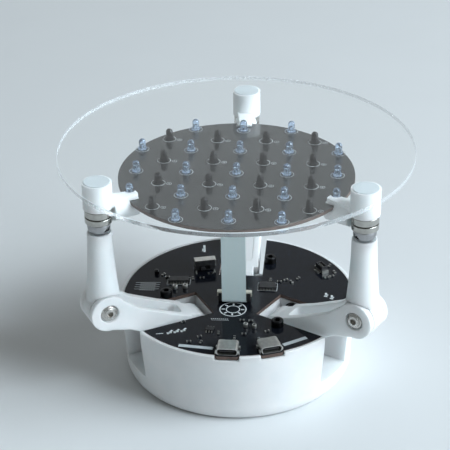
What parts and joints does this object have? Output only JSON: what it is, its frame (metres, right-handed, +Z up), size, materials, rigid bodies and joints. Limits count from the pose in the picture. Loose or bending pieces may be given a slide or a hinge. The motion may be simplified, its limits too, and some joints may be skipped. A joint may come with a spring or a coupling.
{
  "type": "ball balancing table",
  "caption": "Round ball-balancing table: a clear disc over an infrared sensor board, tilted by servo-driven arms with ball joints on a white base.",
  "frame": {"origin": "centre of the base's flat underside", "axes": "+Z up out of the base; +Y towards the rear arm; -Y is the side with the ports"},
  "size_m": [0.15, 0.15, 0.1045],
  "materials": {
    "white_plastic": "fine matte, as printed or moulded nylon",
    "black_board": "satin solder mask",
    "black_plastic": "matte",
    "black_steel": "black oxide",
    "servo_plastic": "satin",
    "ribbon_film": "satin film",
    "clear_acrylic": "polished",
    "clear_lens": "polished epoxy",
    "dark_lens": "polished epoxy",
    "steel": "satin",
    "chrome": "polished",
    "nickel": "polished plate"
  },
  "bodies": {
    "base": {"base_shell": "white_plastic", "main_board": "black_board", "usb_port_left": "steel", "usb_port_right": "steel", "board_screw_rear": "black_steel", "board_screw_left": "black_steel", "board_screw_right": "black_steel", "servo_rear": "servo_plastic", "servo_left": "servo_plastic", "servo_right": "servo_plastic", "servo_screw_rear_1": "steel", "servo_screw_left_1": "steel", "servo_screw_right_1": "steel", "servo_screw_rear_2": "steel", "servo_screw_left_2": "steel", "servo_screw_right_2": "steel", "pivot_pin_rear": "steel", "pivot_pin_left": "steel", "pivot_pin_right": "steel", "power_switch_body": "steel", "driver_chip": "black_plastic", "controller_chip": "black_plastic", "regulator_chip": "black_plastic", "spare_header": "black_plastic", "status_lamp": "black_plastic", "ribbon_socket_lower": "black_plastic", "ribbon_cable": "ribbon_film"},
    "switch_knob": {"power_switch_knob": "black_plastic"},
    "lower_arm_rear": {"lower_link_rear": "white_plastic", "servo_horn_rear": "white_plastic"},
    "upper_arm_rear": {"upper_link_rear": "white_plastic", "elbow_screw_rear_a": "steel", "elbow_screw_rear_b": "steel"},
    "lower_arm_left": {"lower_link_left": "white_plastic", "servo_horn_left": "white_plastic"},
    "upper_arm_left": {"upper_link_left": "white_plastic", "elbow_screw_left_a": "steel", "elbow_screw_left_b": "steel"},
    "lower_arm_right": {"lower_link_right": "white_plastic", "servo_horn_right": "white_plastic"},
    "upper_arm_right": {"upper_link_right": "white_plastic", "elbow_screw_right_a": "steel", "elbow_screw_right_b": "steel"},
    "ball_carrier_left": {"ball_left": "chrome"},
    "ball_carrier_right": {"ball_right": "chrome"},
    "platform": {"ball_rear": "chrome", "seat_magnet_rear": "nickel", "seat_magnet_left": "nickel", "seat_magnet_right": "nickel", "top_magnet_rear": "nickel", "top_magnet_left": "nickel", "top_magnet_right": "nickel", "bracket_rear": "white_plastic", "bracket_left": "white_plastic", "bracket_right": "white_plastic", "sensor_board": "black_board", "ribbon_socket_upper": "black_plastic", "clear_disc": "clear_acrylic"}
  },
  "joints": [
    {"name": "servo_rear", "type": "hinge", "parent": "base", "child": "lower_arm_rear", "pos_m": [0, 0.0235, 0.0247], "axis": [1, 0, 0], "range_deg": [-12, 12], "deforming": ["ribbon_cable"]},
    {"name": "servo_left", "type": "hinge", "parent": "base", "child": "lower_arm_left", "pos_m": [-0.02035, -0.01175, 0.0247], "axis": [-0.5, 0.866, 0], "range_deg": [-12, 12]},
    {"name": "servo_right", "type": "hinge", "parent": "base", "child": "lower_arm_right", "pos_m": [0.02035, -0.01175, 0.0247], "axis": [-0.5, -0.866, 0], "range_deg": [-12, 12]},
    {"name": "elbow_rear", "type": "hinge", "parent": "lower_arm_rear", "child": "upper_arm_rear", "pos_m": [0, 0.0628, 0.0437], "axis": [1, 0, 0], "range_deg": [-18, 18]},
    {"name": "elbow_left", "type": "hinge", "parent": "lower_arm_left", "child": "upper_arm_left", "pos_m": [-0.05439, -0.0314, 0.0437], "axis": [-0.5, 0.866, 0], "range_deg": [-18, 18]},
    {"name": "elbow_right", "type": "hinge", "parent": "lower_arm_right", "child": "upper_arm_right", "pos_m": [0.05439, -0.0314, 0.0437], "axis": [-0.5, -0.866, 0], "range_deg": [-18, 18]},
    {"name": "tilt_left", "type": "hinge", "parent": "base", "child": "ball_carrier_left", "pos_m": [0.02719, 0.0157, 0.0829], "axis": [-0.5, 0.866, 0], "range_deg": [-5.1, 5.1]},
    {"name": "tilt_right", "type": "hinge", "parent": "ball_carrier_left", "child": "ball_carrier_right", "pos_m": [-0.02719, 0.0157, 0.0829], "axis": [-0.5, -0.866, 0], "range_deg": [-5.1, 5.1]},
    {"name": "tilt_rear", "type": "hinge", "parent": "ball_carrier_right", "child": "platform", "pos_m": [0, -0.0314, 0.0829], "axis": [1, 0, 0], "range_deg": [-5.1, 5.1]},
    {"name": "switch_slide", "type": "slide", "parent": "base", "child": "switch_knob", "axis": [0.9681, 0.2504, 0], "range_m": [0, 0.0025]}
  ],
  "couplings": [
    {"joint": "elbow_rear", "follows": "servo_rear", "ratio": -1.4847},
    {"joint": "elbow_left", "follows": "servo_left", "ratio": -1.4847},
    {"joint": "elbow_right", "follows": "servo_right", "ratio": -1.4847},
    {"joint": "tilt_left", "follows": "servo_left", "ratio": 0.4172},
    {"joint": "tilt_right", "follows": "servo_right", "ratio": 0.4172},
    {"joint": "tilt_rear", "follows": "servo_rear", "ratio": 0.4172}
  ]
}
